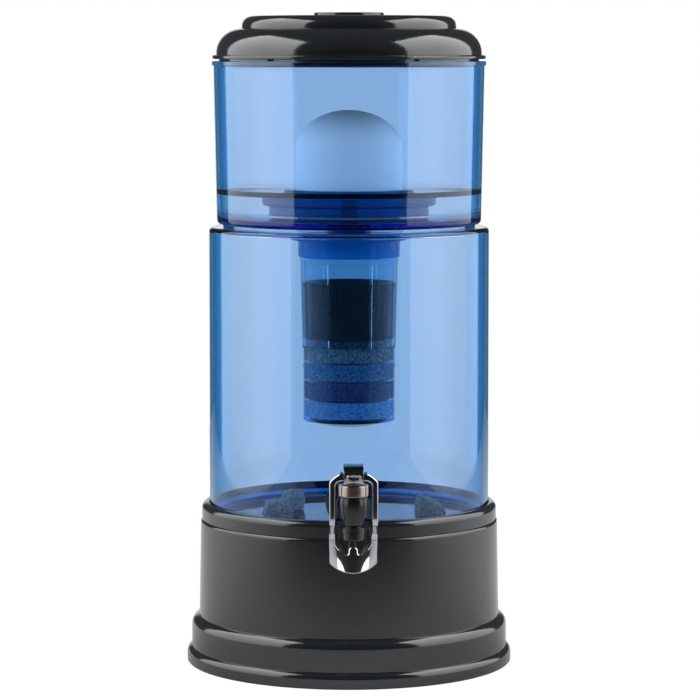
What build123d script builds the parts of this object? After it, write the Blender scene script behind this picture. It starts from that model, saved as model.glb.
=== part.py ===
# Gravity water filter with a push tap.
# An upper tank with a ceramic dome drains through a hanging cartridge into a lower tank, which
# stands in a hollow stand and has a tap at its foot.
# Millimetres and degrees. +Z is up, the tap faces -Y, and the origin is on the axis at the floor.

import os

from build123d import *

os.makedirs("parts", exist_ok=True)

# Fits
rest_gap = 0.3            # a lift-off piece above the face that carries it
slide_gap = 0.5           # radial gap of the lower tank in its stand
thread_gap = 0.15         # radial gap of a screwed joint
pivot_gap = 0.06          # radial gap of the pin in the lever
face_gap = 0.05           # a gasket cut to a tank's curve
stand_fit = 0.2           # radial gap of the stand's top in its drum
layer_gap = 0.1           # felt and grains inside the mineral cup's wall
touching = 0.01           # places nearer than this are one place
straight = 0.99           # share of an edge's direction that makes it run along an axis

# Stand
foot_width = 3.9          # foot beyond the plinth
foot_height = 13.5
foot_round = 6.0
foot_chamfer = 1.0
plinth_width = 6.2        # plinth beyond the wall
plinth_height = 39.4
plinth_round = 8.5
stand_draft = 1.7
parting_rise = 0.2        # top edge of the drum above the seat
parting_step = 0.9
rim_width = 6.0
rim_height = 133.4
rim_round = 4.9
rim_inner_round = 0.8
stand_wall = 3.0
seat_depth = 14.1         # stand's rim down to the seat of the tank
rib_depth = 5.5
rib_width = 2.4
rib_count = 8
rib_hub_radius = 26.0
rib_ring_radius = 78.0

# Lower tank
tank_radius = 115.8
tank_height = 242.1
tank_wall = 3.2
tank_draft = 0.3
tank_floor = 4.2
tank_foot_round = 7.0
tank_inner_round = 6.0
shoulder_round = 3.5
ledge_thickness = 3.5
mouth_ledge = 15.8        # ledge round the mouth, inward from the outer wall
mouth_round = 1.0

# Upper tank
foot_ring_offset = 1.5    # foot ring beyond the lower tank's mouth
foot_ring_width = 2.8
foot_ring_height = 2.0
spigot_gap = 0.8
spigot_width = 2.7
spigot_depth = 8.0
upper_radius = 109.2
upper_draft = 2.5
upper_height = 133.6
upper_wall = 3.0
upper_floor = 4.6
upper_foot_round = 5.0
upper_inner_round = 6.0
flange_width = 1.3
flange_thickness = 3.7
flange_round = 0.8

# Lid
lug_height = 1.3
lug_width = 5.0
lug_length = 3.6
lug_angles = (-128.0, -60.0, 52.0, 120.0)
lid_inset = 0.4           # lid's brim inside the tank's flange
brim_thickness = 3.3
brim_round = 1.0
brim_width = 3.2
lid_height = 25.0         # brim's underside to the shoulder
lid_round = 20.5
crown_radius = 88.3
crown_height = 10.2
crown_round = 8.5
crown_camber = 0.5
disc_radius = 28.7
disc_height = 2.3
disc_round = 1.0
lid_wall = 2.6
skirt_gap = 1.5
skirt_width = 2.2
skirt_depth = 6.2

# Ceramic dome and its base
dome_radius = 43.9
dome_wall = 9.0
dome_side = 33.6          # straight side above the base
dome_cap = 31.3           # height of the rounded cap
dome_socket = 6.0
dome_base_radius = 54.0
dome_base_height = 12.5
dome_base_round = 3.0
dome_skirt_radius = 49.6
dome_skirt_height = 9.0
dome_skirt_round = 1.5
nipple_radius = 12.0
nipple_bore = 4.5
nipple_gap = 0.4          # radial gap in the tank's floor
nipple_length = 25.0      # below the gasket
nipple_round = 1.0
gasket_thickness = 2.1
gasket_radius = 32.0
washer_thickness = 1.0
washer_radius = 19.0
dome_nut_radius = 18.0
dome_nut_height = 5.6

# Cartridge: cap, carbon jar and mineral cup
cap_radius = 48.0
cap_thickness = 4.4
cap_round = 3.0
cap_notch_width = 10.0
cap_notch_depth = 1.6
cap_hub_radius = 17.0
cap_hub_height = 2.2
cap_collar_height = 13.9
cap_collar_wall = 2.2
jar_neck_radius = 39.9
jar_ring_width = 0.6
jar_ring_height = 4.9
jar_radius = 39.5
jar_draft = 1.6
jar_length = 69.0         # under the neck ring
jar_wall = 2.0
jar_rib_count = 6
jar_rib_angle = 5.8
jar_rib_height = 0.8
seal_thickness = 1.0
carbon_depth = 46.0
carbon_heap = 2.5
cup_wall = 2.0
cup_cone = 3.8
cup_bottom_radius = 22.0
cup_spigot = 5.5
cup_spigot_gap = 0.2
cup_ridge_height = 1.4
cup_ridge_width = 0.8
cup_ridge_drop = 16.0     # lower ridge under the upper one
felt_thickness = 1.2
layer_depths = (17.5, 15.2, 16.2, 15.1)
outlet_count = 8
outlet_radius = 1.8
outlet_circle = 14.0

# Tap
tap_rim_gap = 0.6         # tap's flange above the stand's rim
tap_reach = 152.0
shank_radius = 8.0
shank_bore = 4.0
shank_end = 92.0
shank_hole_gap = 0.4
tap_flange_radius = 13.0
tap_flange_thickness = 2.7
tap_flange_round = 0.8
tap_gasket_radius = 12.0
tap_gasket_thickness = 2.5
tap_neck_radius = 7.0
inner_gasket_thickness = 2.6
lock_nut_radius = 21.0
lock_nut_flange = 3.0
lock_nut_hub = 13.0
lock_nut_height = 9.0

spout_drop = 23.7         # shank axis down to the spout's end
spout_radius = 8.3
spout_ring = 5.7
spout_round = 1.5
groove_radius = 7.5
groove_height = 0.6
collar_ring_radius = 9.0
collar_ring_height = 4.2
waist_radius = 6.5
waist_height = 0.9
bulb_foot_radius = 7.1
bulb_mid_radius = 10.7
bulb_mid_height = 13.0
bulb_top_radius = 10.6
bulb_height = 22.0
shoulder_radius = 10.0
shoulder_height = 1.8
neck_radius = 9.0
neck_height = 5.4
chamber_radius = 7.4
seat_radius = 4.2
seat_height = 16.2        # above the spout's end
seat_cone = 4.0

bonnet_radius = 12.0
bonnet_round = 0.6
bonnet_height = 8.7
bonnet_cap_height = 3.6

stem_radius = 2.0
stem_gap = 0.3
stem_foot = 7.0           # stem's end above the seat
stem_eye_radius = 2.9
stem_eye_width = 3.6
pin_radius = 1.5
pin_height = 27.2         # above the shank's axis
cup_radius = 6.2
cup_height = 7.4          # valve cup above its cone
cup_seat_gap = 0.4
cup_tip = 1.2
spring_radius = 5.0
spring_wire = 0.45
spring_turns = 5

lever_half_width = 19.1
lever_thickness = 2.4
lever_front = 7.0         # front face ahead of the pin
lever_top = 4.0           # arch above the pin
lever_shoulder = 4.4      # arch's foot under the pin
lever_arch_share = 0.69
lever_arch_drop = 3.0
lever_bend_top = 33.4     # bend's start under the pin
lever_bend_height = 19.0
lever_bend_depth = 17.0
lever_bend_round = 8.0
lever_bottom = 79.5       # lowest point under the pin
lever_bottom_rise = 8.2
lever_window_half_width = 14.4
lever_window_top = 3.6    # under the pin
lever_window_round = 4.5
lever_window_bottom = 65.2
lever_window_rise = 8.6
lever_tongue_width = 7.4
lever_tongue_height = 7.3
lever_corner_round = 2.5
lever_tongue_round = 1.5
lever_edge_round = 1.1
ear_gap = 0.4
ear_width = 2.6
ear_radius = 3.2

block_half_width = 7.6
block_front = 6.4         # flat ahead of the pin
block_below = 5.9
block_above = 4.2
block_round = 6.2
block_slot = 4.4
block_slot_gap = 0.4
oval_length = 12.0
oval_height = 5.8
oval_line = 0.9
oval_relief = 0.5
tab_half_width = 7.9
tab_front = 4.0
tab_back = 16.0
tab_thickness = 1.9
tab_round = 0.9
tab_rib_count = 8
tab_rib_pitch = 2.0
tab_rib_width = 1.0
tab_rib_height = 0.5

# Places that follow from the sizes
well_radius = tank_radius + slide_gap
collar_radius = well_radius + rim_width
wall_top_radius = collar_radius + parting_step
wall_foot_radius = wall_top_radius + stand_draft
plinth_radius = wall_foot_radius + plinth_width
stand_radius = plinth_radius + foot_width
seat_top = rim_height - seat_depth
seat_under = seat_top - stand_wall
parting_height = seat_top + parting_rise
stand_plug_radius = wall_top_radius - stand_wall - stand_fit
tank_bottom = seat_top + rest_gap
tank_floor_top = tank_bottom + tank_floor
tank_top = tank_bottom + tank_height
tank_inner_radius = tank_radius - tank_wall
mouth_radius = tank_radius - mouth_ledge

upper_bottom = tank_top + rest_gap + foot_ring_height
upper_floor_top = upper_bottom + upper_floor
upper_top = upper_bottom + upper_height
upper_top_radius = upper_radius + upper_draft
flange_radius = upper_top_radius + flange_width

brim_bottom = upper_top + rest_gap + lug_height
brim_radius = flange_radius - lid_inset
brim_top = brim_bottom + brim_thickness
lid_radius = brim_radius - brim_width
lid_shoulder = brim_bottom + lid_height
crown_top = lid_shoulder + crown_height
disc_top = crown_top + crown_camber + disc_height
skirt_radius = upper_top_radius - upper_wall - skirt_gap

gasket_bottom = upper_floor_top + rest_gap
gasket_top = gasket_bottom + gasket_thickness
dome_plate_bottom = gasket_top + dome_skirt_height
dome_plate_top = dome_plate_bottom + dome_base_height
dome_bottom = dome_plate_top - dome_socket
dome_spring = dome_plate_top + dome_side
nipple_bottom = gasket_bottom - nipple_length
nipple_hole = nipple_radius + nipple_gap
screw_bore = nipple_radius + thread_gap
washer_bottom = upper_bottom - washer_thickness
dome_nut_bottom = washer_bottom - dome_nut_height

cap_top = dome_nut_bottom - rest_gap - cap_hub_height
cap_bottom = cap_top - cap_thickness
cap_collar_bottom = cap_bottom - cap_collar_height
cap_collar_bore = jar_neck_radius + thread_gap
cap_collar_radius = cap_collar_bore + cap_collar_wall
jar_top = cap_bottom - seal_thickness
jar_ring_bottom = cap_collar_bottom - jar_ring_height
jar_bottom = jar_ring_bottom - jar_length
jar_foot_radius = jar_radius - jar_draft
jar_bore = jar_radius - jar_wall
jar_foot_bore = jar_foot_radius - jar_wall
cup_shoulder = jar_bottom
cup_top = cup_shoulder + cup_spigot
cup_bore = jar_foot_bore - cup_spigot_gap - cup_wall
layer_tops = [cup_top]
for depth in layer_depths:
    layer_tops.append(layer_tops[-1] - depth)
cup_floor = layer_tops[-1] - felt_thickness - cup_cone
cup_bottom = cup_floor - cup_wall
carbon_bottom = cup_top + felt_thickness
carbon_top = carbon_bottom + carbon_depth

tap_height = rim_height + tap_rim_gap + tap_flange_radius
tap_flange_back = tank_radius + tap_gasket_thickness
tap_flange_front = tap_flange_back + tap_flange_thickness
lock_nut_front = tank_inner_radius - inner_gasket_thickness
spout_end = tap_height - spout_drop
groove_bottom = spout_end + spout_ring
collar_ring_bottom = groove_bottom + groove_height
collar_ring_top = collar_ring_bottom + collar_ring_height
bulb_bottom = collar_ring_top + waist_height
bulb_top = bulb_bottom + bulb_height
bonnet_bottom = bulb_top + shoulder_height
neck_top = bonnet_bottom + neck_height
seat_bottom = spout_end + seat_height
seat_top_height = seat_bottom + seat_cone
pin_z = tap_height + pin_height
spring_bottom = seat_top_height - cup_seat_gap + cup_height
pin_bore = pin_radius + pivot_gap
stem_slot_radius = stem_eye_radius + block_slot_gap

tap_plane = Plane((0, -tap_reach, 0), x_dir=(1, 0, 0), z_dir=(0, -1, 0))
shank_plane = Plane((0, 0, tap_height), x_dir=(1, 0, 0), z_dir=(0, 0, 1))
tank_axis_plane = Plane.XZ


def turned(corners, plane=tank_axis_plane, mode=Mode.ADD, start=0, arc=360):
    # Revolves a closed profile about its plane's Y axis. A corner is (radius, height, rounding).
    axis = Axis(plane.origin, plane.y_dir)
    start_plane = Plane(plane.origin, plane.x_dir.rotate(axis, start), plane.z_dir.rotate(axis, start))
    with BuildSketch(start_plane) as profile:
        with BuildLine():
            points = [(radius, height) for radius, height, rounding in corners]
            FilletPolyline(*points, radius=[corner[2] for corner in corners], close=True)
        make_face()
    revolve(profile.sketch, axis=axis, revolution_arc=arc, mode=mode)


def ring(inner, outer, bottom, top, plane=tank_axis_plane, rounding=0.0, mode=Mode.ADD):
    # A turned ring of rectangular section, or a disc where the inner radius is 0.
    inner_rounding = rounding if inner else 0.0
    turned(
        [
            (inner, bottom, inner_rounding),
            (outer, bottom, rounding),
            (outer, top, rounding),
            (inner, top, inner_rounding),
        ],
        plane,
        mode,
    )


def finish(builder, label):
    # Labels a piece and writes its STEP file.
    builder.part.label = label
    export_step(builder.part, f"parts/{label}.step")


# Stand's drum: an open shell with a plinth and a foot
with BuildPart() as base_stand:
    turned(
        [
            (0, 0, 0),
            (stand_radius, 0, foot_chamfer),
            (stand_radius, foot_height, foot_round),
            (0, foot_height, 0),
        ]
    )
    turned(
        [
            (0, 0, 0),
            (plinth_radius, 0, 0),
            (plinth_radius, plinth_height, plinth_round),
            (0, plinth_height, 0),
        ]
    )
    turned(
        [
            (0, 0, 0),
            (wall_foot_radius, 0, 0),
            (wall_foot_radius, plinth_height, 0),
            (wall_top_radius, parting_height, 0),
            (0, parting_height, 0),
        ]
    )
    turned(
        [
            (0, 0, 0),
            (stand_radius - stand_wall, 0, 0),
            (stand_radius - stand_wall, foot_height - stand_wall, foot_round - stand_wall),
            (plinth_radius - stand_wall, foot_height - stand_wall, 0),
            (plinth_radius - stand_wall, plinth_height - stand_wall, plinth_round - stand_wall),
            (wall_foot_radius - stand_wall, plinth_height - stand_wall, 0),
            (wall_top_radius - stand_wall, parting_height, 0),
            (0, parting_height, 0),
        ],
        mode=Mode.SUBTRACT,
    )
finish(base_stand, "base_stand")

# Stand's top: plugs into the drum, with a rim round the tank and a seat ribbed underneath
with BuildPart() as stand_top:
    turned(
        [
            (0, seat_under, 0),
            (stand_plug_radius, seat_under, 0),
            (stand_plug_radius, parting_height, 0),
            (collar_radius, parting_height, 0),
            (collar_radius, rim_height, rim_round),
            (well_radius, rim_height, rim_inner_round),
            (well_radius, seat_top, 0),
            (0, seat_top, 0),
        ]
    )
    edge_rib_radius = stand_plug_radius - rib_width / 2
    with BuildSketch(Plane.XY.offset(seat_under)):
        for radius in (edge_rib_radius, rib_ring_radius, rib_hub_radius):
            Circle(radius + rib_width / 2)
            Circle(radius - rib_width / 2, mode=Mode.SUBTRACT)
        with PolarLocations((rib_hub_radius + edge_rib_radius) / 2, rib_count):
            Rectangle(edge_rib_radius - rib_hub_radius, rib_width)
    extrude(amount=-rib_depth)
finish(stand_top, "stand_top")

# Lower tank: a drafted clear cup with an inward ledge round its mouth
with BuildPart() as lower_tank:
    turned(
        [
            (0, tank_bottom, 0),
            (tank_radius, tank_bottom, tank_foot_round),
            (tank_radius, tank_top, shoulder_round),
            (mouth_radius, tank_top, mouth_round),
            (mouth_radius, tank_top - ledge_thickness, mouth_round),
            (tank_inner_radius + tank_draft, tank_top - ledge_thickness, mouth_round),
            (tank_inner_radius, tank_floor_top, tank_inner_round),
            (0, tank_floor_top, 0),
        ]
    )
    with BuildSketch(Plane.XZ.offset(tank_inner_radius / 2)):
        with Locations((0, tap_height)):
            Circle(shank_radius + shank_hole_gap)
    extrude(amount=tank_radius, mode=Mode.SUBTRACT)
finish(lower_tank, "lower_tank")

# Mineral stones lying loose on the tank's floor: x, y, half length, half width, height, turn
stones = (
    (-58.5, -48.0, 14.0, 11.0, 18.8, 12.0),
    (-47.0, 10.0, 10.5, 9.0, 17.6, -25.0),
    (65.5, -44.0, 14.5, 12.0, 21.6, 8.0),
)
stone_section = ((0.0, 0.80), (0.35, 1.0), (0.75, 0.82), (1.0, 0.36))
with BuildPart() as mineral_stones:
    for x, y, half_length, half_width, height, turn in stones:
        with BuildPart(mode=Mode.PRIVATE) as stone:
            for level, share in stone_section:
                stone_plane = Plane((x, y, tank_floor_top + level * height)).rotated((0, 0, turn))
                with BuildSketch(stone_plane):
                    Ellipse(half_length * share, half_width * share)
            loft()
        add(stone.part)
finish(mineral_stones, "mineral_stones")

# Upper tank: stands on the ledge by its foot ring, and its spigot locates it in the mouth
with BuildPart() as upper_tank:
    turned(
        [
            (0, upper_bottom, 0),
            (upper_radius, upper_bottom, upper_foot_round),
            (upper_top_radius, upper_top - flange_thickness, 0),
            (flange_radius, upper_top - flange_thickness, flange_round),
            (flange_radius, upper_top, flange_round),
            (upper_top_radius - upper_wall, upper_top, flange_round),
            (upper_radius - upper_wall, upper_floor_top, upper_inner_round),
            (0, upper_floor_top, 0),
        ]
    )
    foot_ring_radius = mouth_radius + foot_ring_offset
    ring(
        foot_ring_radius,
        foot_ring_radius + foot_ring_width,
        upper_bottom - foot_ring_height,
        upper_bottom,
    )
    spigot_radius = mouth_radius - spigot_gap
    ring(spigot_radius - spigot_width, spigot_radius, upper_bottom - spigot_depth, upper_bottom)
    ring(0, nipple_hole, upper_bottom, upper_floor_top, mode=Mode.SUBTRACT)
finish(upper_tank, "upper_tank")

# Lid: a thin domed shell with a raised crown, a locating skirt and four vent lugs
with BuildPart() as lid:
    turned(
        [
            (0, disc_top, 0),
            (disc_radius, disc_top, disc_round),
            (disc_radius, crown_top + crown_camber, 0),
            (crown_radius, crown_top, crown_round),
            (crown_radius, lid_shoulder, 0),
            (lid_radius, lid_shoulder, lid_round),
            (lid_radius, brim_top, 0),
            (brim_radius, brim_top, brim_round),
            (brim_radius, brim_bottom, brim_round),
            (skirt_radius, brim_bottom, 0),
            (skirt_radius, brim_bottom - skirt_depth, skirt_width / 3),
            (skirt_radius - skirt_width, brim_bottom - skirt_depth, skirt_width / 3),
            (skirt_radius - skirt_width, brim_bottom, 0),
            (lid_radius - lid_wall, brim_top, 0),
            (lid_radius - lid_wall, lid_shoulder - lid_wall, lid_round - lid_wall),
            (crown_radius - lid_wall, lid_shoulder - lid_wall, 0),
            (crown_radius - lid_wall, crown_top - lid_wall, crown_round - lid_wall),
            (0, crown_top + crown_camber - lid_wall, 0),
        ]
    )
    lug_radius = brim_radius - brim_round - lug_length / 2
    with BuildSketch(Plane.XY.offset(brim_bottom - lug_height)):
        for angle in lug_angles:
            with PolarLocations(lug_radius, 1, start_angle=angle):
                Rectangle(lug_length, lug_width)
    extrude(amount=lug_height)
finish(lid, "lid")

# Ceramic dome: a porous shell glued into the socket of its base
quarter_pull = 0.5523     # Bezier handle of a quarter ellipse, as a share of its half axis


def dome_quarter(radius, height):
    # A quarter ellipse from the dome's straight side up to the axis.
    return Bezier(
        (radius, dome_spring),
        (radius, dome_spring + quarter_pull * height),
        (quarter_pull * radius, dome_spring + height),
        (0, dome_spring + height),
    )


with BuildPart() as ceramic_dome:
    with BuildSketch(Plane.XZ):
        with BuildLine():
            outer = dome_quarter(dome_radius, dome_cap)
            inner = dome_quarter(dome_radius - dome_wall, dome_cap - dome_wall)
            Line(outer @ 1, inner @ 1)
            foot = Line((dome_radius, dome_bottom), (dome_radius - dome_wall, dome_bottom))
            Line(foot @ 0, outer @ 0)
            Line(foot @ 1, inner @ 0)
        make_face()
    revolve(axis=Axis.Z)
finish(ceramic_dome, "ceramic_dome")

with BuildPart() as dome_base:
    ring(0, dome_base_radius, dome_plate_bottom, dome_plate_top, rounding=dome_base_round)
    ring(0, dome_skirt_radius, gasket_top, dome_plate_bottom, rounding=dome_skirt_round)
    ring(0, dome_skirt_radius - dome_skirt_round, gasket_top, dome_plate_bottom + dome_base_round)
    ring(0, dome_radius, dome_bottom, dome_plate_top, mode=Mode.SUBTRACT)
    ring(0, nipple_radius, nipple_bottom, gasket_top, rounding=nipple_round)
    ring(0, nipple_bore, nipple_bottom, dome_bottom, mode=Mode.SUBTRACT)
finish(dome_base, "dome_base")

with BuildPart() as floor_gasket:
    ring(nipple_radius + thread_gap, gasket_radius, gasket_bottom, gasket_top)
finish(floor_gasket, "floor_gasket")

with BuildPart() as nut_washer:
    ring(nipple_hole, washer_radius, washer_bottom, upper_bottom)
finish(nut_washer, "nut_washer")

# Flat nut that holds the dome from under the upper tank's floor
with BuildPart() as dome_nut:
    with BuildSketch(Plane.XY.offset(dome_nut_bottom)):
        RegularPolygon(dome_nut_radius, 8)
        Circle(screw_bore, mode=Mode.SUBTRACT)
    extrude(amount=dome_nut_height)
finish(dome_nut, "dome_nut")

# Cartridge cap: screws onto the nipple and carries the jar by its collar
with BuildPart() as cartridge_cap:
    turned(
        [
            (screw_bore, cap_bottom, 0),
            (cap_collar_bore, cap_bottom, 0),
            (cap_collar_bore, cap_collar_bottom, 0),
            (cap_collar_radius, cap_collar_bottom, cap_collar_wall / 3),
            (cap_collar_radius, cap_bottom, 0),
            (cap_radius, cap_bottom, cap_thickness - cap_round),
            (cap_radius, cap_top, cap_round),
            (cap_hub_radius, cap_top, 0),
            (cap_hub_radius, cap_top + cap_hub_height, 0),
            (screw_bore, cap_top + cap_hub_height, 0),
        ]
    )
    with BuildSketch(Plane.XY.offset(cap_top)):
        with Locations((0, -cap_radius)):
            Rectangle(cap_notch_width, 2 * cap_round)
    extrude(amount=-cap_notch_depth, mode=Mode.SUBTRACT)
finish(cartridge_cap, "cartridge_cap")

with BuildPart() as cap_seal:
    ring(jar_bore, jar_neck_radius, jar_top, cap_bottom)
finish(cap_seal, "cap_seal")

# Carbon jar: a clear tapered tube with a screwed neck and outer ribs
jar_ring_radius = cap_collar_radius - cap_collar_wall + jar_ring_width
with BuildPart() as carbon_jar:
    turned(
        [
            (jar_foot_bore, jar_bottom, 0),
            (jar_foot_radius, jar_bottom, 0),
            (jar_radius, jar_ring_bottom, 0),
            (jar_ring_radius, jar_ring_bottom, jar_ring_width / 2),
            (jar_ring_radius, cap_collar_bottom, 0),
            (jar_neck_radius, cap_collar_bottom, 0),
            (jar_neck_radius, jar_top, 0),
            (jar_bore, jar_top, 0),
            (jar_bore, jar_ring_bottom, 0),
        ]
    )
    for number in range(jar_rib_count):
        turned(
            [
                (jar_foot_radius - jar_wall / 2, jar_bottom, 0),
                (jar_foot_radius + jar_rib_height, jar_bottom, 0),
                (jar_radius + jar_rib_height, jar_ring_bottom, 0),
                (jar_radius - jar_wall / 2, jar_ring_bottom, 0),
            ],
            start=number * 360 / jar_rib_count - jar_rib_angle / 2,
            arc=jar_rib_angle,
        )
finish(carbon_jar, "carbon_jar")

bed_slope = (jar_bore - jar_foot_bore) / jar_length
with BuildPart() as carbon_bed:
    turned(
        [
            (0, carbon_bottom, 0),
            (jar_foot_bore + bed_slope * (carbon_bottom - jar_bottom), carbon_bottom, 0),
            (jar_foot_bore + bed_slope * (carbon_top - jar_bottom), carbon_top, 0),
            (0, carbon_top + carbon_heap, 0),
        ]
    )
finish(carbon_bed, "carbon_bed")

# Mineral cup: its spigot plugs into the jar, and its bottom has the outlet holes
with BuildPart() as mineral_cup:
    turned(
        [
            (0, cup_bottom, 0),
            (cup_bottom_radius, cup_bottom, 0),
            (jar_foot_radius, cup_bottom + cup_cone, 0),
            (jar_foot_radius, cup_shoulder, 0),
            (cup_bore + cup_wall, cup_shoulder, 0),
            (cup_bore + cup_wall, cup_top, 0),
            (cup_bore, cup_top, 0),
            (cup_bore, cup_floor + cup_cone, 0),
            (cup_bottom_radius, cup_floor, 0),
            (0, cup_floor, 0),
        ]
    )
    for ridge_top in (cup_shoulder, cup_shoulder - cup_ridge_drop):
        ring(
            jar_foot_radius - cup_wall / 2,
            jar_foot_radius + cup_ridge_width,
            ridge_top - cup_ridge_height,
            ridge_top,
            rounding=cup_ridge_width / 2,
        )
    with BuildSketch(Plane.XY.offset(cup_bottom)):
        Circle(outlet_radius)
        with PolarLocations(outlet_circle, outlet_count):
            Circle(outlet_radius)
    extrude(amount=cup_wall, mode=Mode.SUBTRACT)
finish(mineral_cup, "mineral_cup")

# Felt discs part the layers, and one more carries the carbon
with BuildPart() as felt_separators:
    ring(0, jar_foot_bore, cup_top, carbon_bottom)
    for top in layer_tops[1:]:
        ring(0, cup_bore - layer_gap, top - felt_thickness, top)
finish(felt_separators, "felt_separators")

layer_names = ("grey_granules", "dark_blue_beads", "purple_beads", "light_blue_beads")
layer_heads = [layer_tops[0]] + [top - felt_thickness for top in layer_tops[1:-1]]
for name, bottom, top in zip(layer_names, layer_tops[1:], layer_heads):
    with BuildPart() as layer:
        ring(0, cup_bore - layer_gap, bottom, top)
    finish(layer, name)

# Tap body: spout, valve chamber and bonnet neck on one axis, shank and flange on the other
with BuildPart() as tap_body:
    with BuildSketch(tap_plane) as barrel:
        with BuildLine():
            Polyline(
                (0, spout_end),
                (spout_radius, spout_end),
                (spout_radius, groove_bottom),
                (groove_radius, groove_bottom),
                (groove_radius, collar_ring_bottom),
                (collar_ring_radius, collar_ring_bottom),
                (collar_ring_radius, collar_ring_top),
                (waist_radius, collar_ring_top),
                (waist_radius, bulb_bottom),
                (bulb_foot_radius, bulb_bottom),
            )
            ThreePointArc(
                (bulb_foot_radius, bulb_bottom),
                (bulb_mid_radius, bulb_bottom + bulb_mid_height),
                (bulb_top_radius, bulb_top),
            )
            Polyline(
                (bulb_top_radius, bulb_top),
                (shoulder_radius, bulb_top),
                (shoulder_radius, bonnet_bottom),
                (neck_radius, bonnet_bottom),
                (neck_radius, neck_top),
                (0, neck_top),
                (0, spout_end),
            )
        make_face()
        corners = [
            vertex
            for vertex in barrel.vertices()
            if vertex.distance_to(Vertex(spout_radius, spout_end, 0)) < touching
        ]
        fillet(corners, spout_round)
    revolve(axis=Axis(tap_plane.origin, tap_plane.y_dir))
    ring(0, tap_neck_radius, -tap_reach, -tap_flange_back, shank_plane)
    ring(0, tap_flange_radius, -tap_flange_front, -tap_flange_back, shank_plane, tap_flange_round)
    ring(0, shank_radius, -tap_flange_back, -shank_end, shank_plane)
    turned(
        [
            (0, spout_end, 0),
            (seat_radius, spout_end, 0),
            (seat_radius, seat_bottom, 0),
            (chamber_radius, seat_top_height, 0),
            (chamber_radius, neck_top, 0),
            (0, neck_top, 0),
        ],
        tap_plane,
        Mode.SUBTRACT,
    )
    ring(0, shank_bore, -tap_reach, -shank_end, shank_plane, mode=Mode.SUBTRACT)
finish(tap_body, "tap_body")

# Gaskets cut to the tank's curve, and the nut inside the tank
with BuildPart() as tap_outer_gasket:
    ring(
        shank_radius + thread_gap, tap_gasket_radius, -tap_flange_back, -tank_inner_radius, shank_plane
    )
    ring(0, tank_radius + face_gap, 0, tank_top, mode=Mode.SUBTRACT)
finish(tap_outer_gasket, "tap_outer_gasket")

with BuildPart() as tap_inner_gasket:
    ring(shank_radius + thread_gap, tap_gasket_radius, -tank_radius, -lock_nut_front, shank_plane)
    ring(0, tank_inner_radius - face_gap, 0, tank_top, mode=Mode.INTERSECT)
finish(tap_inner_gasket, "tap_inner_gasket")

with BuildPart() as tap_lock_nut:
    ring(0, lock_nut_radius, -lock_nut_front, lock_nut_flange - lock_nut_front, shank_plane)
    with BuildSketch(Plane.XZ.offset(lock_nut_front)):
        with Locations((0, tap_height)):
            RegularPolygon(lock_nut_hub, 6)
    extrude(amount=-lock_nut_height)
    with BuildSketch(Plane.XZ.offset(lock_nut_front)):
        with Locations((0, tap_height)):
            Circle(shank_radius + thread_gap)
    extrude(amount=-lock_nut_height, mode=Mode.SUBTRACT)
finish(tap_lock_nut, "tap_lock_nut")

# Bonnet: a metal trim ring round the neck, and the cap that guides the stem
bonnet_top = bonnet_bottom + bonnet_height
with BuildPart() as bonnet_ring:
    ring(neck_radius + thread_gap, bonnet_radius, bonnet_bottom, bonnet_top, tap_plane, bonnet_round)
finish(bonnet_ring, "bonnet_ring")

with BuildPart() as bonnet_cap:
    ring(stem_radius + stem_gap, neck_radius, neck_top, neck_top + bonnet_cap_height, tap_plane)
finish(bonnet_cap, "bonnet_cap")

# Valve: the stem lifts the cup off its seat against the spring
with BuildPart() as valve_stem:
    stem_top = pin_z - (stem_eye_radius + pin_radius) / 2
    ring(0, stem_radius, seat_bottom + stem_foot, stem_top, tap_plane)
    with BuildSketch(Plane.YZ):
        with Locations((-tap_reach, pin_z)):
            Circle(stem_eye_radius)
            Circle(pin_radius, mode=Mode.SUBTRACT)
    extrude(amount=stem_eye_width / 2, both=True)
finish(valve_stem, "valve_stem")

with BuildPart() as valve_cup:
    turned(
        [
            (0, seat_bottom - cup_tip, 0),
            (seat_radius - cup_seat_gap, seat_bottom - cup_tip, cup_seat_gap),
            (seat_radius - cup_seat_gap, seat_bottom, 0),
            (cup_radius, seat_top_height - cup_seat_gap, 0),
            (cup_radius, spring_bottom, cup_seat_gap),
            (0, spring_bottom, 0),
        ],
        tap_plane,
    )
    ring(0, stem_radius, seat_bottom + stem_foot, spring_bottom, tap_plane, mode=Mode.SUBTRACT)
finish(valve_cup, "valve_cup")

with BuildPart() as valve_spring:
    spring_height = neck_top - spring_bottom - 2 * spring_wire
    coil_bottom = spring_bottom + spring_wire
    with BuildLine() as coil:
        Helix(
            pitch=spring_height / spring_turns,
            height=spring_height,
            radius=spring_radius,
            center=(0, -tap_reach, coil_bottom),
        )
    with BuildSketch(Plane(coil.line @ 0, z_dir=coil.line % 0)):
        Circle(spring_wire)
    sweep()
finish(valve_spring, "valve_spring")

with BuildPart() as lever_pin:
    with BuildSketch(Plane.YZ):
        with Locations((-tap_reach, pin_z)):
            Circle(pin_radius)
    extrude(amount=block_half_width + ear_gap + ear_width, both=True)
finish(lever_pin, "lever_pin")

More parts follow.
